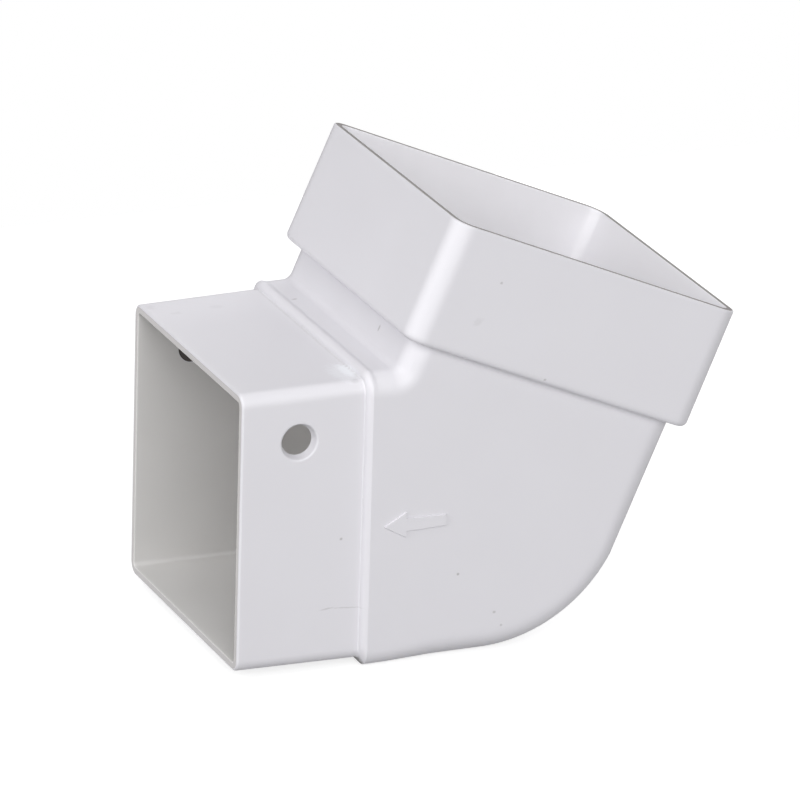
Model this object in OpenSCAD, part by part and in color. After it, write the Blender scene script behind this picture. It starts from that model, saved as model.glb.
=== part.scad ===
// Moulded elbow for a square vinyl downspout: a spigot that slides into the pipe
// below, a bend with a sharp throat and a rounded heel, and a socket that takes
// the pipe above. It is one hollow moulding that stands on the flat of its heel.
// Millimetres, +Z up. The origin is the middle of that flat, the spigot points
// to -X, the socket leans up towards +X and the part is symmetric about Y = 0.

/* [Wall] */
// Wall thickness of the moulding
wall = 1.9; // [1.2:0.1:2.6]

/* [Spigot] */
// Outside width and height of the spigot at the shoulder
spigot_w = 61.5; // [50:0.5:80]
// Length of the spigot from its mouth to the shoulder
spigot_len = 26.4; // [22:0.2:45]
// Draft of each spigot face, narrower at the mouth, in degrees
spigot_draft = 0.7; // [0:0.1:1.5]
// Outside corner radius of the spigot
spigot_corner_r = 2.8; // [2:0.1:5]
// Rounding of the outer edge of the spigot's mouth
mouth_round = 0.5; // [0.2:0.1:1]
// Height of the step under the spigot, down to the flat of the heel
step_under = 1.5; // [0.8:0.1:2.7]
// Height of the step above the spigot, up to the top of the body
step_over = 1.4; // [0.8:0.1:2.7]
// Width of the step on each side of the spigot
step_side = 1.75; // [1.5:0.05:3]

/* [Shoulder bead] */
// Length of the rounded bead round the shoulder, along the spigot
bead_len = 2; // [1.8:0.1:3]
// How far the bead stands proud of the body
bead_proud = 0.2; // [0.05:0.05:0.6]
// Rounding of the bead's front edge
bead_round = 1.1; // [0.4:0.1:1.3]
// Fillet between the spigot and the bead
foot_r = 0.6; // [0.2:0.1:0.6]

/* [Bend] */
// Angle between the spigot and the socket, in degrees
bend_angle = 67; // [45:1:90]
// Outside corner radius at the lower edges of the shoulder
toe_corner_r = 3.8; // [3:0.1:6]
// Outside corner radius round the heel
heel_corner_r = 5; // [3.4:0.1:8]
// Outside corner radius in the throat and up the neck
neck_corner_r = 4.6; // [3.4:0.1:8]
// Radius of the fillet in the throat
throat_r = 5; // [3:0.5:8]
// Distance from the shoulder to the sharp corner of the throat
throat_x = 7.9; // [6:0.1:16]
// Length of the flat under the body, from the shoulder
flat_len = 28.5; // [22:0.5:34]
// Angle of the faint crease where the heel's arc meets its straight back, in degrees
heel_crease = 6.2; // [1:0.2:12]
// Length of the neck between the throat's fillet and the socket
neck_len = 4.4; // [1:0.1:20]

/* [Socket] */
// Width of the socket's overhang at each side of the body
socket_step = 2.6; // [2:0.05:5]
// Outside length of the socket, from its lower edge to the rim
socket_len = 26.3; // [18:0.1:45]
// How far the socket overhangs the back of the heel
socket_overhang = 2.65; // [2:0.05:3.9]
// Draft of each socket face, narrower at the rim, in degrees
socket_draft = 0.37; // [0:0.01:1]
// Outside corner radius of the socket
socket_corner_r = 4.2; // [3.4:0.1:8]
// Rounding of the socket's lower edge
socket_edge_r = 1.8; // [0.6:0.1:2]
// Rounding of the rim's outer edge
rim_round = 0.3; // [0.1:0.1:0.8]

/* [Pin holes] */
// Diameter of the hole through each side of the spigot
hole_d = 7.6; // [4:0.1:10]
// Width of the bevel round the outside of each hole
hole_bevel = 0.4; // [0.2:0.1:1]
// Distance of the holes from the shoulder
hole_x = 13.6; // [8:0.1:16]
// Depth of the holes below the top of the spigot
hole_drop = 11.6; // [9:0.1:20]

/* [Flow arrow] */
// Length of the raised flow arrow
arrow_len = 13.9; // [8:0.1:20]
// Length of the arrow's head
arrow_head_len = 4.9; // [3:0.1:7]
// Width of the arrow's head
arrow_head_w = 5.6; // [3:0.1:9]
// Width of the shaft behind the head
arrow_shaft_w = 3.1; // [1:0.1:4]
// Width of the shaft at its tail
arrow_tail_w = 2.2; // [1:0.1:4]
// Distance of the arrow's tip from the shoulder
arrow_x = 4.7; // [3:0.1:10]
// Height of the arrow above the flat of the heel
arrow_z = 31.3; // [22:0.1:40]
// Height of the arrow's face above the wall
arrow_rise = 0.35; // [0.2:0.05:0.8]

/* [Hidden] */
plastic = [0.93, 0.93, 0.94];
$fn = 96;
corner_steps = 8;    // flats round each corner of a section
edge_steps = 4;      // steps round the edge of a lip, the bead or the socket
foot_steps = 2;      // steps round the fillet at the bead's foot
flat_steps = 8;      // sections along the flat, the heel's arc and its straight back
arc_steps = 20;
back_steps = 9;
cut_over = 1;        // how far a cut runs past the face it opens
sink = 0.5;          // how far the arrow is rooted in the wall

body_w = spigot_w + 2 * step_side;
body_h = spigot_w + step_under + step_over;
socket_w = body_w + 2 * socket_step;
spigot_mid_z = step_under + spigot_w / 2;
hole_z = step_under + spigot_w - hole_drop;

// The side view: the heel's sharp corner, the throat's centre and the arc's centre
leg = [cos(bend_angle), sin(bend_angle)];
inward = [-sin(bend_angle), cos(bend_angle)];
heel_corner = [throat_x + body_h * tan(bend_angle / 2), 0];
throat_centre = [throat_x - throat_r * tan(bend_angle / 2), body_h + throat_r];
heel_r = (heel_corner[0] - flat_len) * sin(bend_angle) / (cos(heel_crease) - cos(bend_angle));
heel_centre = [flat_len, heel_r];
heel_to_back = (heel_centre - heel_corner) * inward;

// Distances along the leg, from the heel's sharp corner
throat_along = (throat_centre - heel_corner) * leg;
socket_along = throat_along + neck_len;

// The heel's arc, inset by t, turns through this angle before it meets the back
function arc_turn(t) = bend_angle - acos((heel_to_back - t) / (heel_r - t));
function arc_end(t) =
    (heel_centre - heel_corner) * leg - (heel_r - t) * sin(bend_angle - arc_turn(t));
function on_leg(along, t) = heel_corner + along * leg + t * inward;

// The outline under the part, inset by t: flat, heel, then straight up the back
function flat_points(t) = [
    for (i = [0 : flat_steps - 1])
        [throat_centre[0] + (flat_len - throat_centre[0]) * i / flat_steps, t]
];
function arc_points(t) = [
    for (i = [0 : arc_steps - 1])
        let (a = arc_turn(t) * i / arc_steps)
            heel_centre + (heel_r - t) * [sin(a), -cos(a)]
];
function back_points(t) = [
    for (i = [0 : back_steps])
        on_leg(arc_end(t) + (throat_along - arc_end(t)) * i / back_steps, t)
];
function under_points(t) = concat(flat_points(t), arc_points(t), back_points(t));

// A section is a rounded rectangle across the part, given as
// [lower middle, upper middle, half width, lower radius, upper radius]
function spigot_section(x, t) =
    let (half = spigot_w / 2 + x * tan(spigot_draft) - t, r = max(spigot_corner_r - t, 0.6))
        [[x, spigot_mid_z - half], [x, spigot_mid_z + half], half, r, r];
function body_section(x, t, proud) =
    [[x, t], [x, body_h - t + proud], body_w / 2 - t + proud,
     toe_corner_r - t, neck_corner_r - t];
function leg_section(along, t) =
    [on_leg(along, t), on_leg(along, body_h - t), body_w / 2 - t,
     heel_corner_r - t, neck_corner_r - t];
function socket_section(up, t) =
    let (in = up * tan(socket_draft) + t, r = socket_corner_r - min(t, wall))
        [on_leg(socket_along + up, in - socket_overhang),
         on_leg(socket_along + up, socket_w - socket_overhang - in),
         socket_w / 2 - in, r, r];

// Sections that fan round the throat, from the body to the leg
function fan_sections(t) =
    let (under = under_points(t), last = len(under) - 1)
        [for (i = [0 : last])
            let (a = bend_angle * i / last, settle = min(1, 2 * i / flat_steps))
                [under[i],
                 throat_centre + (throat_r + t) * [sin(a), -cos(a)],
                 body_w / 2 - t,
                 toe_corner_r + (heel_corner_r - toe_corner_r) * settle - t,
                 neck_corner_r - t]];

// From the spigot out to the bead: a fillet, then a quarter round.
// The underside reaches the flat first, so its edge is crisp.
function shoulder_section(x, out) =
    let (share = out / (step_side + bead_proud),
         s = spigot_section(x, 0) * (1 - share) + body_section(x, 0, bead_proud) * share)
        [[x, (spigot_mid_z - spigot_w / 2) * max(0, 1 - 1.3 * share)],
         s[1], s[2], s[3], s[4]];
function shoulder_sections() = concat(
    [for (i = [0 : foot_steps])
        let (a = 90 * i / foot_steps)
            shoulder_section(foot_r * (sin(a) - 1), foot_r * (1 - cos(a)))],
    [for (i = [0 : edge_steps])
        let (a = 90 * i / edge_steps)
            shoulder_section(bead_round * (1 - cos(a)),
                             step_side + bead_proud - bead_round * (1 - sin(a)))]
);

// The moulding as one loop of sections: along the outside, over the rim, back inside
function outside() = concat(
    [for (i = [0 : edge_steps])
        let (a = 90 * i / edge_steps)
            spigot_section(mouth_round * (1 - cos(a)) - spigot_len,
                           mouth_round * (1 - sin(a)))],
    shoulder_sections(),
    [body_section((bead_round + bead_len) / 2, 0, bead_proud), body_section(bead_len, 0, 0)],
    fan_sections(0),
    [leg_section(socket_along, 0)],
    [for (i = [0 : edge_steps])
        let (a = 90 * i / edge_steps)
            socket_section(socket_edge_r * (1 - cos(a)), socket_edge_r * (1 - sin(a)))],
    [for (i = [0 : edge_steps])
        let (a = 90 * i / edge_steps)
            socket_section(socket_len - rim_round * (1 - sin(a)), rim_round * (1 - cos(a)))]
);
function inside() = concat(
    [spigot_section(-spigot_len, wall), spigot_section(wall, wall), body_section(wall, wall, 0)],
    fan_sections(wall),
    [leg_section(socket_along + wall, wall), socket_section(wall, wall),
     socket_section(socket_len, wall)]
);

// One rounded corner of a section, then its outline, then its place in space
function corner(y, v, r, from) = [
    for (k = [0 : corner_steps])
        let (a = from + 90 * k / corner_steps)
            [y + r * cos(a), v + r * sin(a)]
];
function outline(half, high, low_r, up_r) = concat(
    corner(half - low_r, low_r, low_r, -90), corner(half - up_r, high - up_r, up_r, 0),
    corner(up_r - half, high - up_r, up_r, 90), corner(low_r - half, low_r, low_r, 180)
);
function ring(s) =
    let (rise = s[1] - s[0], high = norm(rise), up = rise / high)
        [for (p = outline(s[2], high, s[3], s[4]))
            [s[0][0] + up[0] * p[1], p[0], s[0][1] + up[1] * p[1]]];

// A closed skin carried through a loop of sections
module skin(sections) {
    around = 4 * (corner_steps + 1);
    count = len(sections);
    polyhedron(
        [for (s = sections, p = ring(s)) p],
        [for (i = [0 : count - 1], j = [0 : around - 1])
            let (n = (i + 1) % count, k = (j + 1) % around)
                [i * around + j, n * around + j, n * around + k, i * around + k]]
    );
}

// The bore across both side walls, with a bevel outside each
module pin_holes() {
    side_y = spigot_w / 2 - hole_x * tan(spigot_draft);
    translate([-hole_x, 0, hole_z])
        rotate([90, 0, 0]) {
            cylinder(d = hole_d, h = spigot_w + 2 * cut_over, center = true);
            for (s = [0, 1])
                mirror([0, 0, s])
                    translate([0, 0, side_y - hole_bevel])
                        cylinder(d1 = hole_d, d2 = hole_d + 2 * (hole_bevel + cut_over),
                                 h = hole_bevel + cut_over);
        }
}

// The raised arrow on the near side, pointing towards the spigot
module arrow() {
    translate([arrow_x, sink - body_w / 2, arrow_z])
        rotate([90, 0, 0])
            linear_extrude(sink + arrow_rise)
                polygon([
                    [0, 0],
                    [arrow_head_len, -arrow_head_w / 2],
                    [arrow_head_len, -arrow_shaft_w / 2],
                    [arrow_len, -arrow_tail_w / 2],
                    [arrow_len, arrow_tail_w / 2],
                    [arrow_head_len, arrow_shaft_w / 2],
                    [arrow_head_len, arrow_head_w / 2],
                ]);
}

module elbow() {
    inner = inside();
    last = len(inner) - 1;
    color(plastic)
        translate([-flat_len / 2, 0, 0]) {
            difference() {
                skin(concat(outside(), [for (i = [0 : last]) inner[last - i]]));
                pin_holes();
            }
            arrow();
        }
}

elbow();
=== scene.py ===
import bpy
import bmesh
import numpy as np
from mathutils import Matrix


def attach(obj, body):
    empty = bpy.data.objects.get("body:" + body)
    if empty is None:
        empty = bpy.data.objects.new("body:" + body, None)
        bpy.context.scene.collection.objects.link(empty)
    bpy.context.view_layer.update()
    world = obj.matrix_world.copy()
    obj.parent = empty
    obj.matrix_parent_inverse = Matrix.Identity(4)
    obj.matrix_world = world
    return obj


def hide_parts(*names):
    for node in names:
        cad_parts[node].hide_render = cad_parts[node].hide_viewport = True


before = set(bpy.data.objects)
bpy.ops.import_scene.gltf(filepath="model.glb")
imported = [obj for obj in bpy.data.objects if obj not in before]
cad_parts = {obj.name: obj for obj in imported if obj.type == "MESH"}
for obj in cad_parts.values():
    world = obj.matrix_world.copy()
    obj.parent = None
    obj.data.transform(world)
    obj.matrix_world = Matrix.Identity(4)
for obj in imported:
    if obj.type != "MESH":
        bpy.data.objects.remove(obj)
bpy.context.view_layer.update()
print("frame loaded")

mm = 0.001

# the photograph's view: a long lens, well back, on the mouth's side
viewCamera = {
    "place": (-0.59781, -1.39142, 0.61410),
    "azimuth": -23.505,
    "elevation": 20.539,
    "roll": 1.719,
    "lens": 348.35,
    "sensor": 36.0,
    "near": 0.1,
    "far": 30.0,
}


# The camera looks back along the direction of its azimuth and elevation. Level is that
# direction crossed with up, and the roll turns level and upright about the line of sight.
def makeCamera(c):
    az, el, roll = np.radians([c["azimuth"], c["elevation"], c["roll"]])
    back = np.array([np.sin(az) * np.cos(el), -np.cos(az) * np.cos(el), np.sin(el)])
    level = np.cross([0, 0, 1], back)
    level /= np.linalg.norm(level)
    upright = np.cross(back, level)
    right = level * np.cos(roll) + upright * np.sin(roll)
    up = upright * np.cos(roll) - level * np.sin(roll)
    data = bpy.data.cameras.new("viewCamera")
    data.lens = c["lens"]
    data.sensor_width = c["sensor"]
    data.clip_start = c["near"]
    data.clip_end = c["far"]
    cam = bpy.data.objects.new("viewCamera", data)
    turn = Matrix((right, up, back)).transposed().to_4x4()
    cam.matrix_world = Matrix.Translation(c["place"]) @ turn
    bpy.context.scene.collection.objects.link(cam)
    bpy.context.scene.camera = cam


makeCamera(viewCamera)
print("camera placed")

# The moulding, in millimetres and degrees; x counts from the shoulder and z from the floor.
# Steps are how far the body stands out from the spigot under, over and beside it.
elbow = {
    "spigotWidth": 61.5, "spigotLength": 26.4, "spigotDraft": 0.7, "spigotCorner": 2.8,
    "leastCorner": 0.6, "stepUnder": 1.5, "stepOver": 1.4, "stepSide": 1.75, "underSteep": 3.0,
    "footFillet": 0.18, "footReach": 0.35, "stepFrom": 0.45, "stepReach": 1.35, "stepTurn": 52.0,
    "beadProud": 0.3, "beadFoot": 0.25, "beadFrom": 0.55, "beadReach": 1.15, "beadEnd": 3.0,
    "bend": 67.0, "throatX": 7.9, "throatR": 2.0, "flat": 28.5, "heelCrease": 6.2, "neck": 6.05,
    "cornerToe": 3.8, "cornerHeel": 5.0, "cornerNeck": 4.6,
    "socketStep": 2.6, "socketLength": 26.63, "socketDraft": 0.37, "socketCorner": 4.2,
    "socketOverhang": 2.65, "socketEdge": 1.3, "socketDraftFrom": 1.8,
    "wall": 1.9, "mouthRound": 0.5, "rimRound": 0.3, "innerRound": 0.25,
}

# How finely each stretch of the moulding is divided. A guard is the narrow step in millimetres
# that keeps the shading of a flat from running into the curve beside it, and topGuard is the
# same as a share of the top. Edges that turn by more than sharpAngle stay sharp.
grid = {
    "corner": 9, "top": 14, "below": 8, "above": 2, "flat": 8, "heel": 34, "back": 8, "round": 5,
    "mouthSteps": 3, "spigotSteps": 4, "socketSteps": 5, "socketInside": 6,
    "neckShares": (0.5, 0.9, 1.0), "guard": 0.4, "topGuard": 0.008, "sharpAngle": 22.0,
}

# The pin hole through each side of the spigot, in millimetres. The patch is the square of skin
# that it replaces, and the two blends say where its rings lie between the patch's border and
# the circle, outside from the border in and inside from the circle out.
pinHole = {
    "x": -13.75, "z": 51.5, "radius": 3.8, "bevel": 0.48, "taper": 0.5, "patch": 10.8, "sides": 16,
    "lip": 0.1, "nearBlend": (0, 0.35, 0.65, 0.9), "farBlend": (0, 0.3, 0.6, 0.85, 1),
}


# The fixed points of the side view. Heel is where the flat's line crosses the back's line, and
# throat is the middle of the fillet's circle. The heel's arc starts at the flat's end, with the
# radius at which it meets the back's line at the crease's angle.
def sideView(e):
    b = np.radians(e["bend"])
    high = e["spigotWidth"] + e["stepUnder"] + e["stepOver"]
    leg = np.array([np.cos(b), np.sin(b)])
    inward = np.array([-np.sin(b), np.cos(b)])
    heel = np.array([e["throatX"] + high * np.tan(b / 2), 0.0])
    throat = np.array([e["throatX"] - e["throatR"] * np.tan(b / 2), high + e["throatR"]])
    crease = np.cos(np.radians(e["heelCrease"]))
    heelR = (heel[0] - e["flat"]) * np.sin(b) / (crease - np.cos(b))
    along = (throat - heel) @ leg
    return dict(bend=b, high=high, leg=leg, inward=inward, heel=heel, throat=throat, heelR=heelR,
                arc=np.array([e["flat"], heelR]), along=along, socket=along + e["neck"],
                half=e["spigotWidth"] / 2 + e["stepSide"])


# A row is one section of the moulding: a rounded rectangle across it, held as
# low x, low z, high x, high z, half width, lower corner radius, upper corner radius.
def rows(low, high, half, lowR, highR):
    n = len(low)
    return np.column_stack([low, high] + [np.broadcast_to(v, n) for v in (half, lowR, highR)])


# a square round the spigot's axis, narrower towards the mouth by the tangent of the draft
def spigotRows(e, x, inset):
    x, inset = np.broadcast_arrays(np.asarray(x, float), inset)
    half = e["spigotWidth"] / 2 + x * np.tan(np.radians(e["spigotDraft"])) - inset
    middle = e["stepUnder"] + e["spigotWidth"] / 2
    radius = np.maximum(e["spigotCorner"] - inset, e["leastCorner"])
    return rows(np.column_stack([x, middle - half]), np.column_stack([x, middle + half]),
                half, radius, radius)


def bodyRows(e, s, x, inset):  # upright sections from the flat to the body's top
    x, inset = np.broadcast_arrays(np.asarray(x, float), inset)
    return rows(np.column_stack([x, inset]), np.column_stack([x, s["high"] - inset]),
                s["half"] - inset, e["cornerToe"] - inset, e["cornerNeck"] - inset)


# The step from spigot to body: a hollow quarter circle at the foot, then a rounded front. At
# the sides the front is an arc of stepTurn that meets the body at a slight crease. On top it is
# a quarter ellipse up to a low bead, which falls back to the body along half a cosine wave.
def shoulderRows(e, s, g):
    foot = np.radians(np.linspace(0, 90, g["round"] + 1))
    front = np.linspace(0, 1, 2 * g["round"] + 1)[1:]
    turn = np.radians(e["stepTurn"])
    out = e["footFillet"]
    sideX = e["stepFrom"] + np.concatenate([
        e["footReach"] * (np.sin(foot) - 1),
        e["stepReach"] * (1 - np.cos(front * turn)) / (1 - np.cos(turn))])
    sideOut = np.concatenate([
        out * (1 - np.cos(foot)),
        out + (e["stepSide"] - out) * np.sin(front * turn) / np.sin(turn)])
    crest = e["stepOver"] + e["beadProud"]
    topX = e["beadFrom"] + np.concatenate([
        e["beadFoot"] * (np.sin(foot) - 1),
        e["beadReach"] * (1 - np.cos(front * np.pi / 2))])
    topOut = np.concatenate([
        e["beadFoot"] * (1 - np.cos(foot)),
        e["beadFoot"] + (crest - e["beadFoot"]) * np.sin(front * np.pi / 2)])
    fall = np.linspace(0, 1, g["round"] + 2)[1:]
    sideX = np.concatenate([sideX, sideX[-1] + (e["beadEnd"] - sideX[-1]) * fall])
    sideOut = np.concatenate([sideOut, np.full(len(fall), e["stepSide"])])
    topX = np.concatenate([topX, topX[-1] + (e["beadEnd"] - topX[-1]) * fall])
    drop = (1 - np.cos(fall * np.pi)) / 2
    topOut = np.concatenate([topOut, crest - e["beadProud"] * drop])
    share = np.clip(sideOut / e["stepSide"], 0, 1)
    spigot, body = spigotRows(e, sideX, 0), bodyRows(e, s, sideX, 0)
    under = e["stepUnder"] * np.clip((1 - share) * e["underSteep"], 0, 1)
    top = e["stepUnder"] + e["spigotWidth"] + topOut
    radii = spigot[:, 5:] * (1 - share[:, None]) + body[:, 5:] * share[:, None]
    half = e["spigotWidth"] / 2 + sideOut
    return rows(np.column_stack([sideX, under]), np.column_stack([topX, top]),
                half, radii[:, 0], radii[:, 1])


# Sections fanned round the bend: the low end runs along the flat, the heel's arc and the back,
# while the high end turns evenly round the throat's circle. The low corners grow along the flat.
def bendRows(e, s, g, inset):
    down = (s["arc"] - s["heel"]) @ s["inward"] - inset
    turn = s["bend"] - np.arccos(down / (s["heelR"] - inset))
    start = (s["arc"] - s["heel"]) @ s["leg"] - (s["heelR"] - inset) * np.sin(s["bend"] - turn)
    flat = np.linspace(s["throat"][0], e["flat"], g["flat"], endpoint=False)
    a = np.linspace(0, turn, g["heel"], endpoint=False)
    up = np.linspace(start, s["along"], g["back"] + 1)
    low = np.vstack([
        np.column_stack([flat, np.full(len(flat), inset)]),
        s["arc"] + (s["heelR"] - inset) * np.column_stack([np.sin(a), -np.cos(a)]),
        s["heel"] + up[:, None] * s["leg"] + inset * s["inward"],
    ])
    t = np.linspace(0, s["bend"], len(low))
    high = s["throat"] + (e["throatR"] + inset) * np.column_stack([np.sin(t), -np.cos(t)])
    settle = np.clip(2 * np.arange(len(low)) / g["flat"], 0, 1)
    lowR = e["cornerToe"] + (e["cornerHeel"] - e["cornerToe"]) * settle - inset
    return rows(low, high, s["half"] - inset, lowR, e["cornerNeck"] - inset)


def legRows(e, s, along, inset):  # square across the leg
    along = np.asarray(along, float)[:, None]
    low = s["heel"] + along * s["leg"] + inset * s["inward"]
    high = s["heel"] + along * s["leg"] + (s["high"] - inset) * s["inward"]
    return rows(low, high, s["half"] - inset, e["cornerHeel"] - inset, e["cornerNeck"] - inset)


# square across the leg, overhanging the body all round and narrower towards the rim
def socketRows(e, s, up, inset):
    up, inset = np.broadcast_arrays(np.asarray(up, float), inset)
    drawn = np.maximum(up, e["socketDraftFrom"])
    narrow = drawn * np.tan(np.radians(e["socketDraft"])) + inset
    width = 2 * (s["half"] + e["socketStep"])
    foot = s["heel"] + (s["socket"] + up)[:, None] * s["leg"]
    low = foot + (narrow - e["socketOverhang"])[:, None] * s["inward"]
    high = foot + (width - e["socketOverhang"] - narrow)[:, None] * s["inward"]
    radius = e["socketCorner"] - np.minimum(inset, e["wall"])
    return rows(low, high, width / 2 - narrow, radius, radius)


def guarded(a, b, n, guard):  # n even steps from a to b, with a narrow step at each end
    d = np.sign(b - a) * guard
    return np.concatenate([[a], np.linspace(a + d, b - d, n + 1), [b]])


# The whole skin as one loop of sections: outside from the mouth to the rim, then back inside.
# Edges are quarter circles, whose inset falls by the sine while they advance by the cosine.
def mouldingRows(e, s, g, h):
    q = np.radians(np.linspace(0, 90, g["round"] + 1))
    more, less = 1 - np.cos(q), 1 - np.sin(q)
    w, guard = e["wall"], g["guard"]
    mouth = -e["spigotLength"]
    patch = h["x"] + np.linspace(-0.5, 0.5, h["sides"] + 1) * h["patch"]
    spigotX = np.concatenate([
        guarded(mouth + e["mouthRound"], patch[0], g["mouthSteps"], guard)[1:-1], patch,
        guarded(patch[-1], -e["footReach"], g["spigotSteps"], guard)[1:-1],
    ])
    fanOut, fanIn = bendRows(e, s, g, 0), bendRows(e, s, g, w)
    length, rim, inner = e["socketLength"], e["rimRound"], e["innerRound"]
    outside = [
        spigotRows(e, mouth + e["mouthRound"] * more, e["mouthRound"] * less),
        spigotRows(e, spigotX, 0), shoulderRows(e, s, g),
        bodyRows(e, s, [e["beadEnd"] + guard], 0), fanOut,
        legRows(e, s, s["along"] + np.array(g["neckShares"]) * e["neck"], 0),
        socketRows(e, s, e["socketEdge"] * more, e["socketEdge"] * less),
        socketRows(e, s, guarded(e["socketEdge"], length - rim, g["socketSteps"], guard)[1:-1], 0),
        socketRows(e, s, length - rim * less, rim * more),
    ]
    inside = [
        socketRows(e, s, length - inner * more, w - inner * less),
        socketRows(e, s, guarded(length - inner, w, g["socketInside"], guard)[1:], w),
        legRows(e, s, [s["socket"] + w, s["socket"] + w - guard, s["along"] + guard], w),
        fanIn[::-1], bodyRows(e, s, [w + guard, w], w), spigotRows(e, [w, w - guard], w),
        spigotRows(e, spigotX[::-1], w),
        spigotRows(e, mouth + inner * more[::-1], w - inner * less[::-1]),
    ]
    # finish 0 is the outside, 1 the bend and the spigot's inside, greyer as painted shade,
    # 2 the socket's inside, paler as painted light, 3 the end faces of the rim and the mouth,
    # darker as painted shade
    parts = outside + inside
    finishes = [0] * len(outside) + [2, 2] + [1] * (len(inside) - 2)
    finish = np.repeat(finishes, [len(part) for part in parts])
    rimRow, mouthRow = len(np.vstack(outside)) - 1, len(finish) - 1
    finish[[rimRow, mouthRow]] = 3
    return np.vstack(parts), finish


# One section's outline: four arcs of a quarter turn joined by straights.
# Along a straight, a point is the share f of the way from one arc's end to the next arc's start.
def ringPoints(r, g, shares):
    lowX, lowZ, highX, highZ, half, lowR, highR = r.T[:, :, None]
    high = np.hypot(highX - lowX, highZ - lowZ)
    quarter = np.radians(np.linspace(0, 90, g["corner"] + 1))
    centres = [(half - lowR, lowR, lowR), (half - highR, high - highR, highR),
               (highR - half, high - highR, highR), (lowR - half, lowR, lowR)]
    arcs = [(y + rad * np.cos(quarter + (k - 1) * np.pi / 2),
             v + rad * np.sin(quarter + (k - 1) * np.pi / 2))
            for k, (y, v, rad) in enumerate(centres)]
    across, up = [], []
    for k in range(4):
        f = shares[k][1:-1]
        following = arcs[(k + 1) % 4]
        for part, out in ((0, across), (1, up)):
            a, b = arcs[k][part][:, -1:], following[part][:, :1]
            out += [arcs[k][part], a + (b - a) * f]
    y, v = np.hstack(across), np.hstack(up)
    x = lowX + (highX - lowX) * v / high
    z = lowZ + (highZ - lowZ) * v / high
    return np.stack([x, y, z], axis=2)


def sideShares(e, h, g):  # shares of the straight side, with even steps across the pin hole's patch
    long = e["spigotWidth"] - 2 * e["spigotCorner"]
    base = e["stepUnder"] + e["spigotCorner"]
    a, b = (h["z"] - h["patch"] / 2 - base) / long, (h["z"] + h["patch"] / 2 - base) / long
    guard = g["guard"] / long
    return np.concatenate([[0], np.linspace(guard, a, g["below"] + 1),
                           np.linspace(a, b, h["sides"] + 1)[1:],
                           np.linspace(b, 1 - guard, g["above"] + 1)[1:], [1]])


def loopRound(points, rowA, rowB, colA, colB):  # the border of a patch, once round
    block = points[rowA:rowB + 1, colA:colB + 1]
    return np.vstack([block[0, :-1], block[:-1, -1], block[-1, :0:-1], block[:0:-1, 0]])


# The bore's wall: from the patch's border in to the rounded edge, round it, through the wall,
# and out again to the border on the inner skin. Each ring on a skin is a blend of border and
# circle, and its points keep the border's order round the hole.
def boreWall(outer, inner, h, g, e, side):
    n = len(outer)
    start = np.arctan2(outer[0, 2] - h["z"], outer[0, 0] - h["x"])
    second = np.arctan2(outer[1, 2] - h["z"], outer[1, 0] - h["x"])
    step = np.sign(np.sin(second - start)) * 2 * np.pi / n
    a = start + step * np.arange(n)
    wide = h["radius"] + h["bevel"]

    def circle(radius, depth):
        x = h["x"] + radius * np.cos(a)
        slope = np.tan(np.radians(e["spigotDraft"]))
        y = side * (e["spigotWidth"] / 2 + x * slope - depth)
        return np.stack([x, y, h["z"] + radius * np.sin(a)], axis=1)

    q = np.radians(np.linspace(0, 90, g["round"] + 1))
    blend = np.array(h["nearBlend"])[:, None, None]
    near = outer * (1 - blend) + circle(wide + h["lip"], 0) * blend
    bevel = [circle(wide - h["bevel"] * np.sin(t), h["bevel"] * (1 - np.cos(t))) for t in q]
    thin = h["radius"] - h["taper"]
    back = circle(thin + h["lip"], e["wall"])
    blend = np.array(h["farBlend"])[:, None, None]
    far = back * (1 - blend) + inner * blend
    return np.concatenate([near, bevel, [circle(thin, e["wall"] - h["lip"])], far])


def gridFaces(rowCount, columns, closed):  # quads between neighbouring rows, round each ring
    i = np.arange(rowCount if closed else rowCount - 1)[:, None]
    j = np.arange(columns)[None, :]
    n, k = (i + 1) % rowCount, (j + 1) % columns
    return np.stack([i * columns + j, n * columns + j, n * columns + k, i * columns + k], axis=2)


# a closed mesh with its doubled points joined and its normals outwards, smooth between edges
def makeMesh(name, points, faces, finish, sharp):
    joined, thinnest = 1e-7, 1e-8
    mesh = bpy.data.meshes.new(name)
    mesh.from_pydata(points.tolist(), [], faces.tolist())
    mesh.polygons.foreach_set("material_index", finish)
    bm = bmesh.new()
    bm.from_mesh(mesh)
    bmesh.ops.remove_doubles(bm, verts=bm.verts, dist=joined)
    bmesh.ops.dissolve_degenerate(bm, edges=bm.edges, dist=thinnest)
    bmesh.ops.recalc_face_normals(bm, faces=bm.faces)
    bm.to_mesh(mesh)
    bm.free()
    mesh.shade_smooth()
    mesh.set_sharp_from_angle(angle=np.radians(sharp))
    piece = bpy.data.objects.new(name, mesh)
    bpy.context.scene.collection.objects.link(piece)
    return piece


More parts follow.
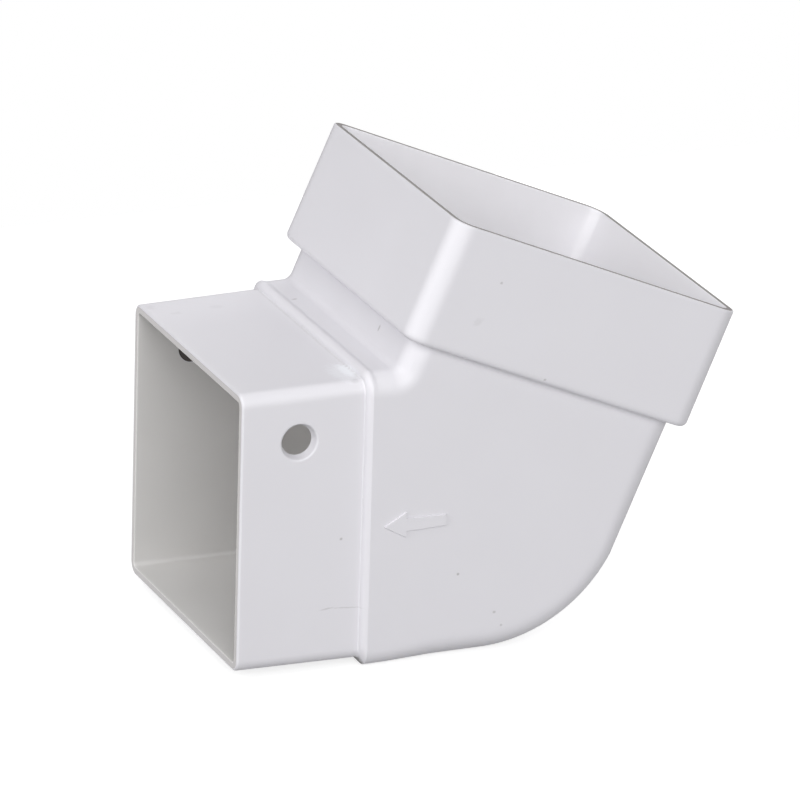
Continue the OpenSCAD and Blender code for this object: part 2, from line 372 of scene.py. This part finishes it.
# The loop of sections joined into a skin, with a patch of each skin left out on both sides of
# the spigot, where a bore's wall joins the two skins
def moulding(e, g, h):
    s = sideView(e)
    section, rowFinish = mouldingRows(e, s, g, h)
    side = sideShares(e, h, g)
    top = guarded(0.0, 1.0, g["top"], g["topGuard"])
    points = ringPoints(section, g, [side, top, 1 - side[::-1], top])
    count, columns = points.shape[:2]
    faces = gridFaces(count, columns, True)
    finish = np.repeat(rowFinish[:, None], columns, axis=1)
    keep = np.ones(faces.shape[:2], bool)

    # The patch's rows on both skins, and its columns on the far and the near side. Columns count
    # round the ring, where each arc shares its end points with the straights beside it, and the
    # near patch starts as far before the near side's lower end as its own and the lower steps.
    sides, innerRings = h["sides"], len(h["farBlend"]) - 1
    atPatch = np.flatnonzero(np.isclose(section[:, 0], h["x"] - h["patch"] / 2))
    first, last = atPatch[0], atPatch[-1]
    far = g["corner"] + g["below"] + 1
    near = 3 * g["corner"] + 2 * len(side) + len(top) - 4 - g["below"] - sides
    extra, extraFaces, extraFinish, used = [], [], [], count * columns
    for direction, col in ((1, far), (-1, near)):
        keep[first:first + sides, col:col + sides] = False
        keep[last - sides:last, col:col + sides] = False
        outer = loopRound(points, first, first + sides, col, col + sides)
        back = count - 1 - last
        inner = loopRound(points[::-1], back, back + sides, col, col + sides)
        rings = boreWall(outer, inner, h, g, e, direction)
        extra.append(rings.reshape(-1, 3))
        more = gridFaces(len(rings), rings.shape[1], False)
        extraFaces.append(more.reshape(-1, 4) + used)
        inside = np.arange(more.shape[0]) >= more.shape[0] - innerRings
        extraFinish.append(np.repeat(inside.astype(int), more.shape[1]))
        used += rings.shape[0] * rings.shape[1]
    allPoints = np.vstack([points.reshape(-1, 3)] + extra)
    allPoints[:, 0] -= e["flat"] / 2
    allFaces = np.vstack([faces[keep]] + extraFaces)
    allFinish = np.concatenate([finish[keep]] + extraFinish)
    return makeMesh("elbowMoulding", allPoints * mm, allFaces, allFinish, g["sharpAngle"])


elbowPiece = moulding(elbow, grid, pinHole)
print("moulding made")

# the raised flow arrow on the near side, in millimetres; its tip points to the mouth
flowArrow = {
    "tipX": 4.7, "middleZ": 31.3, "length": 13.9, "headLength": 4.9, "headWidth": 5.6,
    "shaftWidth": 2.85, "tailWidth": 2.35, "rise": 0.4, "root": 0.4,
    "bevel": 0.08, "bevelSteps": 2,
}


# An outline of seven corners, drawn once in the wall and once at the arrow's face,
# with four-cornered sides between the two.
def arrowPiece(a, e):
    outline = np.array([
        [0, 0], [a["headLength"], -a["headWidth"] / 2], [a["headLength"], -a["shaftWidth"] / 2],
        [a["length"], -a["tailWidth"] / 2], [a["length"], a["tailWidth"] / 2],
        [a["headLength"], a["shaftWidth"] / 2], [a["headLength"], a["headWidth"] / 2],
    ])
    n = len(outline)
    wallY = -(e["spigotWidth"] / 2 + e["stepSide"])
    x = a["tipX"] - e["flat"] / 2 + outline[:, 0]
    z = a["middleZ"] + outline[:, 1]
    root = np.column_stack([x, np.full(n, wallY + a["root"]), z])
    face = np.column_stack([x, np.full(n, wallY - a["rise"]), z])
    mesh = bpy.data.meshes.new("flowArrow")
    k = np.arange(n)
    sides = np.column_stack([k, (k + 1) % n, (k + 1) % n + n, k + n]).tolist()
    mesh.from_pydata((np.vstack([root, face]) * mm).tolist(), [],
                     sides + [k[::-1].tolist(), (k + n).tolist()])
    bm = bmesh.new()
    bm.from_mesh(mesh)
    bmesh.ops.recalc_face_normals(bm, faces=bm.faces)
    bm.to_mesh(mesh)
    bm.free()
    piece = bpy.data.objects.new("flowArrow", mesh)
    bpy.context.scene.collection.objects.link(piece)
    soften = piece.modifiers.new("soften", "BEVEL")
    soften.width = a["bevel"] * mm
    soften.segments = a["bevelSteps"]
    soften.limit_method = "ANGLE"
    return piece


arrow = arrowPiece(flowArrow, elbow)
print("arrow made")

# how many finer layers each noise of the skin has
skinDetail = {"wave": 1.5, "grain": 2.0}


# Fine finish of the moulded skin: slow waves of the cooled wall mixed with a faint grain.
# Height drives a Bump node, and the waves alone vary the tone and the roughness a little.
def makeMouldedSkin(detail):
    group = bpy.data.node_groups.new("mouldedSkin", "ShaderNodeTree")
    face = group.interface
    for name, value in (("Wave Size", 90.0), ("Grain Size", 1600.0), ("Grain Share", 0.15)):
        socket = face.new_socket(name, in_out="INPUT", socket_type="NodeSocketFloat")
        socket.default_value = value
    face.new_socket("Height", in_out="OUTPUT", socket_type="NodeSocketFloat")
    face.new_socket("Mottle", in_out="OUTPUT", socket_type="NodeSocketFloat")
    nodes, links = group.nodes, group.links
    start, end = nodes.new("NodeGroupInput"), nodes.new("NodeGroupOutput")
    place = nodes.new("ShaderNodeTexCoord")
    wave, grain = nodes.new("ShaderNodeTexNoise"), nodes.new("ShaderNodeTexNoise")
    wave.inputs["Detail"].default_value = detail["wave"]
    grain.inputs["Detail"].default_value = detail["grain"]
    mix = nodes.new("ShaderNodeMix")
    for noise, size in ((wave, "Wave Size"), (grain, "Grain Size")):
        links.new(place.outputs["Object"], noise.inputs["Vector"])
        links.new(start.outputs[size], noise.inputs["Scale"])
    links.new(start.outputs["Grain Share"], mix.inputs["Factor"])
    links.new(wave.outputs["Fac"], mix.inputs["A"])
    links.new(grain.outputs["Fac"], mix.inputs["B"])
    links.new(mix.outputs["Result"], end.inputs["Height"])
    links.new(wave.outputs["Fac"], end.inputs["Mottle"])
    return group


mouldedSkin = makeMouldedSkin(skinDetail)

# the scale of the noise that tears a mark, and the share of its reach that stays solid
fleckShape = {"grain": 1400.0, "solid": 0.35}


# One ragged mark. The way from its place is turned about the Y axis, divided by its reach and
# torn by noise. The mask is 1 up to the solid share of that length, and falls to 0 at 1.
def makeFleck(shape):
    group = bpy.data.node_groups.new("fleck", "ShaderNodeTree")
    face = group.interface
    sockets = {"Place": "Vector", "Reach": "Vector", "Turn": "Float", "Ragged": "Float"}
    for name, kind in sockets.items():
        face.new_socket(name, in_out="INPUT", socket_type="NodeSocket" + kind)
    face.new_socket("Mask", in_out="OUTPUT", socket_type="NodeSocketFloat")
    nodes, links = group.nodes, group.links
    start, end = nodes.new("NodeGroupInput"), nodes.new("NodeGroupOutput")
    place, noise = nodes.new("ShaderNodeTexCoord"), nodes.new("ShaderNodeTexNoise")
    turned = nodes.new("ShaderNodeVectorRotate")
    steps = []
    for kind in ("SUBTRACT", "DIVIDE", "SUBTRACT", "SCALE", "ADD", "LENGTH"):
        steps.append(nodes.new("ShaderNodeVectorMath"))
        steps[-1].operation = kind
    away, scaled, centred, torn, ragged, length = steps
    turned.inputs["Axis"].default_value = (0, 1, 0)
    centred.inputs[1].default_value = (0.5, 0.5, 0.5)
    noise.inputs["Scale"].default_value = shape["grain"]
    fall = nodes.new("ShaderNodeMapRange")
    fall.interpolation_type = "SMOOTHSTEP"
    fall.inputs["From Min"].default_value = shape["solid"]
    fall.inputs["From Max"].default_value = 1.0
    fall.inputs["To Min"].default_value = 1.0
    fall.inputs["To Max"].default_value = 0.0
    links.new(place.outputs["Object"], away.inputs[0])
    links.new(start.outputs["Place"], away.inputs[1])
    links.new(away.outputs[0], turned.inputs["Vector"])
    links.new(start.outputs["Turn"], turned.inputs["Angle"])
    links.new(turned.outputs[0], scaled.inputs[0])
    links.new(start.outputs["Reach"], scaled.inputs[1])
    links.new(place.outputs["Object"], noise.inputs["Vector"])
    links.new(noise.outputs["Color"], centred.inputs[0])
    links.new(centred.outputs[0], torn.inputs[0])
    links.new(start.outputs["Ragged"], torn.inputs["Scale"])
    links.new(scaled.outputs[0], ragged.inputs[0])
    links.new(torn.outputs[0], ragged.inputs[1])
    links.new(ragged.outputs[0], length.inputs[0])
    links.new(length.outputs["Value"], fall.inputs["Value"])
    links.new(fall.outputs["Result"], end.inputs["Mask"])
    return group


fleck = makeFleck(fleckShape)

# Wear and painted shade on the outside: dark specks, a hairline and smudges, a darker line
# along the bead's foot, pale scuffs, and painted shade at the step, low under the spigot and at
# its foot by the near top corner. Each mark has its middle, with x from the shoulder, and how far
# it reaches along x, y and z, all in millimetres, then its turn in degrees, and how much of its
# tone shows.
wearAndShade = {
    "dark": {"tone": (0.24, 0.23, 0.22), "ragged": 0.9, "marks": [
        (-4.0, -30.7, 29.1, 0.45, 1, 0.4, 0, 0.45), (21.7, -32.5, 18.7, 0.5, 1, 0.4, 20, 0.55),
        (30.2, -32.5, 9.1, 0.45, 1, 0.4, 0, 0.4), (31.9, -32.5, 6.0, 0.4, 1, 0.35, 0, 0.35),
        (28.2, -35.1, 82.8, 0.45, 1, 0.4, 0, 0.4), (38.7, -35.1, 60.5, 0.45, 1, 0.4, 0, 0.4),
        (23.2, -35.1, 74.9, 1.6, 1, 1.0, 30, 0.10), (9.6, -15.6, 68.5, 0.9, 0.5, 0.9, 0, 0.45),
        (4.0, 16.6, 64.4, 0.8, 0.5, 0.8, 0, 0.4),
        (-6.9, -30.7, 14.0, 2.1, 1, 0.24, 8, 0.26), (-2.6, -31.2, 13.75, 5.2, 2, 0.22, -5, 0.26),
        (-24.8, 25.8, 63.0, 1.6, 2.2, 1, 0, 0.10), (-21.0, 20.6, 63.0, 1.8, 1.2, 1, 0, 0.08),
        (-13.4, 28.5, 63.0, 1.5, 1.5, 1, 0, 0.10), (-11.7, 21.4, 63.0, 2.2, 1.3, 1, 0, 0.07),
        # a darker line along the bead's foot on top
        (0.35, 0, 63.1, 0.5, 60, 0.6, 0, 0.14),
    ]},
    "pale": {"tone": (0.88, 0.90, 0.94), "ragged": 0.7, "marks": [
        (-0.9, -23.0, 63.1, 1.6, 5.2, 2, 0, 0.65), (-2.0, -24.0, 63.0, 3.8, 7.0, 2, 0, 0.35),
    ]},
    # painted shade: a dark tone low on the step's front under the spigot, and a faint darker spot
    # at the step's foot by the near top corner
    "shadeAtStep": {"tone": (0.07, 0.06, 0.055), "ragged": 0.4, "marks": [
        (0.5, 0, 1.0, 1.0, 200, 1.3, 0, 0.95), (1.1, 0, 0.3, 1.0, 200, 1.2, 0, 0.95),
        (-1.1, -28.8, 62.9, 1.2, 1.0, 1.5, 0, 0.14),
    ]},
}

# Four finishes of one white rigid PVC: the outside with a soft gloss, the inside greyer by
# painted shade, the socket's inside paler by painted light, and the end faces of the rim and the
# mouth smoother and darker, the darker tone being painted shade.
# Rough is from least to most, wave and grain are noise scales, and bump is a strength.
plasticIndex, bumpHeight = 1.53, 0.001
pvc = {
    "outside": {"pale": (0.70, 0.69, 0.725), "shade": (0.68, 0.67, 0.705), "rough": (0.50, 0.56),
                "wave": 60.0, "grain": 1500.0, "bump": 0.05},
    # greyer than the outside: painted shade in the hollow
    "inside": {"pale": (0.66, 0.65, 0.64), "shade": (0.62, 0.61, 0.60), "rough": (0.38, 0.45),
               "wave": 80.0, "grain": 1800.0, "bump": 0.06},
    # paler than the outside: painted light on the socket's inner walls
    "socketInside": {"pale": (0.81, 0.80, 0.83), "shade": (0.79, 0.78, 0.81), "rough": (0.38, 0.45),
                     "wave": 80.0, "grain": 1800.0, "bump": 0.05},
    # darker than the outside: painted shade along the rim and mouth; the low roughness is real
    "endFacePaintedShade": {"pale": (0.52, 0.50, 0.50), "shade": (0.47, 0.45, 0.45), "rough": (0.14, 0.18),
                "wave": 200.0, "grain": 1800.0, "bump": 0.03},
}


def addWearAndShade(nodes, links, colour, v, e):  # each mark mixed over the colour before it
    for x, y, z, *reach, turn, share in v["marks"]:
        mark, mix = nodes.new("ShaderNodeGroup"), nodes.new("ShaderNodeMix")
        weight = nodes.new("ShaderNodeMath")
        weight.operation = "MULTIPLY"
        weight.inputs[1].default_value = share
        mark.node_tree = fleck
        mark.inputs["Place"].default_value = [c * mm for c in (x - e["flat"] / 2, y, z)]
        mark.inputs["Reach"].default_value = [c * mm for c in reach]
        mark.inputs["Turn"].default_value = np.radians(turn)
        mark.inputs["Ragged"].default_value = v["ragged"]
        mix.data_type = "RGBA"
        mix.inputs["B"].default_value = (*v["tone"], 1)
        links.new(mark.outputs["Mask"], weight.inputs[0])
        links.new(weight.outputs[0], mix.inputs["Factor"])
        links.new(colour, mix.inputs["A"])
        colour = mix.outputs["Result"]
    return colour


# tone and roughness slide between their two values with the skin's waves, and the wear and the
# painted shade lie on top
def pvcMaterial(name, v, e, markSets):
    material = bpy.data.materials.new(name)
    material.use_nodes = True
    nodes, links = material.node_tree.nodes, material.node_tree.links
    shader = nodes["Principled BSDF"]
    skin = nodes.new("ShaderNodeGroup")
    skin.node_tree = mouldedSkin
    skin.inputs["Wave Size"].default_value = v["wave"]
    skin.inputs["Grain Size"].default_value = v["grain"]
    tint = nodes.new("ShaderNodeMix")
    tint.data_type = "RGBA"
    tint.inputs["A"].default_value = (*v["shade"], 1)
    tint.inputs["B"].default_value = (*v["pale"], 1)
    gloss = nodes.new("ShaderNodeMapRange")
    gloss.inputs["To Min"].default_value = v["rough"][0]
    gloss.inputs["To Max"].default_value = v["rough"][1]
    bump = nodes.new("ShaderNodeBump")
    bump.inputs["Strength"].default_value = v["bump"]
    bump.inputs["Distance"].default_value = bumpHeight
    links.new(skin.outputs["Mottle"], tint.inputs["Factor"])
    links.new(skin.outputs["Mottle"], gloss.inputs["Value"])
    links.new(skin.outputs["Height"], bump.inputs["Height"])
    colour = tint.outputs["Result"]
    for markSet in markSets:
        colour = addWearAndShade(nodes, links, colour, markSet, e)
    links.new(colour, shader.inputs["Base Color"])
    links.new(gloss.outputs["Result"], shader.inputs["Roughness"])
    links.new(bump.outputs["Normal"], shader.inputs["Normal"])
    shader.inputs["IOR"].default_value = plasticIndex
    return material


outsideFinish = pvcMaterial("pvcOutside", pvc["outside"], elbow, wearAndShade.values())
# the inside, socket-inside and end-face tones are painted shade, painted light and painted shade
insidePaintedShadeFinish = pvcMaterial("pvcInsidePaintedShade", pvc["inside"], elbow, [])
socketPaintedLightFinish = pvcMaterial("pvcSocketInsidePaintedLight", pvc["socketInside"], elbow, [])
endPaintedShadeFinish = pvcMaterial("pvcEndFacePaintedShade", pvc["endFacePaintedShade"], elbow, [])
for finish in (outsideFinish, insidePaintedShadeFinish, socketPaintedLightFinish, endPaintedShadeFinish):
    elbowPiece.data.materials.append(finish)
arrow.data.materials.append(outsideFinish)
for piece in (elbowPiece, arrow):
    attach(piece, "root")
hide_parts("elbow")
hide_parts("elbow")
print("finish applied")

# The white studio, sizes in metres. The floor reaches this far in front and to the sides, and
# ends a little behind the object. Glow and fill are strengths, where 1 is white; shade and
# bounce are the floor's tones to the camera and to the object.
studio = {
    "floorReach": 3.0, "floorBack": 0.25,
    "floorGlow": 0.75, "floorShade": 0.4, "floorBounce": 0.36, "fill": 0.18,
}


def stagePlane(name, corners, material):  # one flat face that belongs to the stage
    mesh = bpy.data.meshes.new(name)
    mesh.from_pydata(corners, [], [list(range(len(corners)))])
    mesh.materials.append(material)
    plane = bpy.data.objects.new(name, mesh)
    bpy.context.scene.collection.objects.link(plane)
    return plane


def seenPlainly(nodes, links):  # 1 to the camera, straight or in gloss or glass, and 0 to light
    path, rays = nodes.new("ShaderNodeLightPath"), None
    for kind in ("Is Glossy Ray", "Is Transmission Ray"):
        both = nodes.new("ShaderNodeMath")
        both.operation = "ADD"
        both.use_clamp = True
        links.new(path.outputs["Is Camera Ray"] if rays is None else rays, both.inputs[0])
        links.new(path.outputs[kind], both.inputs[1])
        rays = both.outputs[0]
    return rays


# To the camera the floor glows almost white and still takes the object's shadow
def floorMaterial(v):
    material = bpy.data.materials.new("paleFloor")
    material.use_nodes = True
    nodes, links = material.node_tree.nodes, material.node_tree.links
    nodes.clear()
    out, mix = nodes.new("ShaderNodeOutputMaterial"), nodes.new("ShaderNodeMixShader")
    added = nodes.new("ShaderNodeAddShader")
    glow, shade = nodes.new("ShaderNodeEmission"), nodes.new("ShaderNodeBsdfDiffuse")
    plain = nodes.new("ShaderNodeBsdfDiffuse")
    glow.inputs["Strength"].default_value = v["floorGlow"]
    shade.inputs["Color"].default_value = (v["floorShade"],) * 3 + (1,)
    plain.inputs["Color"].default_value = (v["floorBounce"],) * 3 + (1,)
    links.new(glow.outputs[0], added.inputs[0])
    links.new(shade.outputs[0], added.inputs[1])
    links.new(seenPlainly(nodes, links), mix.inputs[0])
    links.new(plain.outputs[0], mix.inputs[1])
    links.new(added.outputs[0], mix.inputs[2])
    links.new(mix.outputs[0], out.inputs[0])
    return material


reach, back = studio["floorReach"], studio["floorBack"]
floorCorners = [(-reach, -reach, 0), (reach, -reach, 0), (reach, back, 0), (-reach, back, 0)]
stagePlane("floor", floorCorners, floorMaterial(studio))


def studioSky(v):  # plain white to the camera, and an even fill to the object
    world = bpy.data.worlds.new("studio")
    bpy.context.scene.world = world
    world.use_nodes = True
    nodes, links = world.node_tree.nodes, world.node_tree.links
    nodes.clear()
    out, mix = nodes.new("ShaderNodeOutputWorld"), nodes.new("ShaderNodeMixShader")
    fill, white = nodes.new("ShaderNodeBackground"), nodes.new("ShaderNodeBackground")
    fill.inputs["Strength"].default_value = v["fill"]
    for background in (fill, white):
        background.inputs["Color"].default_value = (1, 1, 1, 1)
    links.new(seenPlainly(nodes, links), mix.inputs[0])
    links.new(fill.outputs[0], mix.inputs[1])
    links.new(white.outputs[0], mix.inputs[2])
    links.new(mix.outputs[0], out.inputs[0])


studioSky(studio)

# soft boxes: where each stands from the object, its size in metres and its power in watts
softBoxes = {
    "frontBox": {"place": (-0.33, -1.9, 1.02), "size": 1.4, "power": 33.0, "gloss": True},
    "leftBox": {"place": (-1.72, -0.34, 0.98), "size": 1.5, "power": 24.0, "gloss": True},
    "topBox": {"place": (0.0, 0.1, 2.0), "size": 1.2, "power": 6.0, "gloss": True},
    "backBox": {"place": (1.35, 1.3, 0.7), "size": 1.5, "power": 27.0, "gloss": False},
}


def softBox(name, v):  # a square area light that faces the origin
    data = bpy.data.lights.new(name, "AREA")
    data.energy = v["power"]
    data.size = v["size"]
    box = bpy.data.objects.new(name, data)
    place = np.array(v["place"])
    back = place / np.linalg.norm(place)
    right = np.cross([0, 0, 1], back)
    right /= np.linalg.norm(right)
    turn = Matrix((right, np.cross(back, right), back)).transposed().to_4x4()
    box.matrix_world = Matrix.Translation(place) @ turn
    box.visible_camera = False
    box.visible_glossy = v["gloss"]
    bpy.context.scene.collection.objects.link(box)


for name, v in softBoxes.items():
    softBox(name, v)

# Two dark cards: a wide one behind the object, seen only in its gloss, and a small disc
# in the far pin hole, seen only by the camera and only from the front, as painted shade there.
darkCards = {
    "backCard": {"middle": (0.0, 1.9, 0.5), "size": (6.0, 2.4), "corners": 4,
                 "tone": (0.045, 0.037, 0.033)},
    "holeCard": {"middle": (-0.028, 0.0301, 0.0515), "size": (0.0075, 0.0075),
                 "corners": 24, "tone": (0.045, 0.04, 0.037)},
}


# A flat card round its middle, clear when seen from behind. Its sides touch the ellipse of the
# stated width and height from outside, so four corners make a rectangle and many make a disc.
def darkCard(name, v):
    material = bpy.data.materials.new(name)
    material.use_nodes = True
    nodes, links = material.node_tree.nodes, material.node_tree.links
    nodes.clear()
    out, mix = nodes.new("ShaderNodeOutputMaterial"), nodes.new("ShaderNodeMixShader")
    side, clear = nodes.new("ShaderNodeNewGeometry"), nodes.new("ShaderNodeBsdfTransparent")
    dark = nodes.new("ShaderNodeEmission")
    dark.inputs["Color"].default_value = (*v["tone"], 1)
    links.new(side.outputs["Backfacing"], mix.inputs[0])
    links.new(dark.outputs[0], mix.inputs[1])
    links.new(clear.outputs[0], mix.inputs[2])
    links.new(mix.outputs[0], out.inputs[0])
    (x, y, z), (w, h) = v["middle"], v["size"]
    half = np.pi / v["corners"]
    turns = half * (2 * np.arange(v["corners"]) + 1)
    around = np.stack([np.cos(turns), np.sin(turns)], axis=1) / (2 * np.cos(half))
    card = stagePlane(name, [(x + w * i, y, z + h * k) for i, k in around], material)
    card.visible_diffuse = card.visible_shadow = card.visible_transmission = False
    return card


darkCard("backCard", darkCards["backCard"]).visible_camera = False
darkCard("holeCard", darkCards["holeCard"]).visible_glossy = False
bpy.context.scene.view_settings.view_transform = "Standard"
print("studio lit")
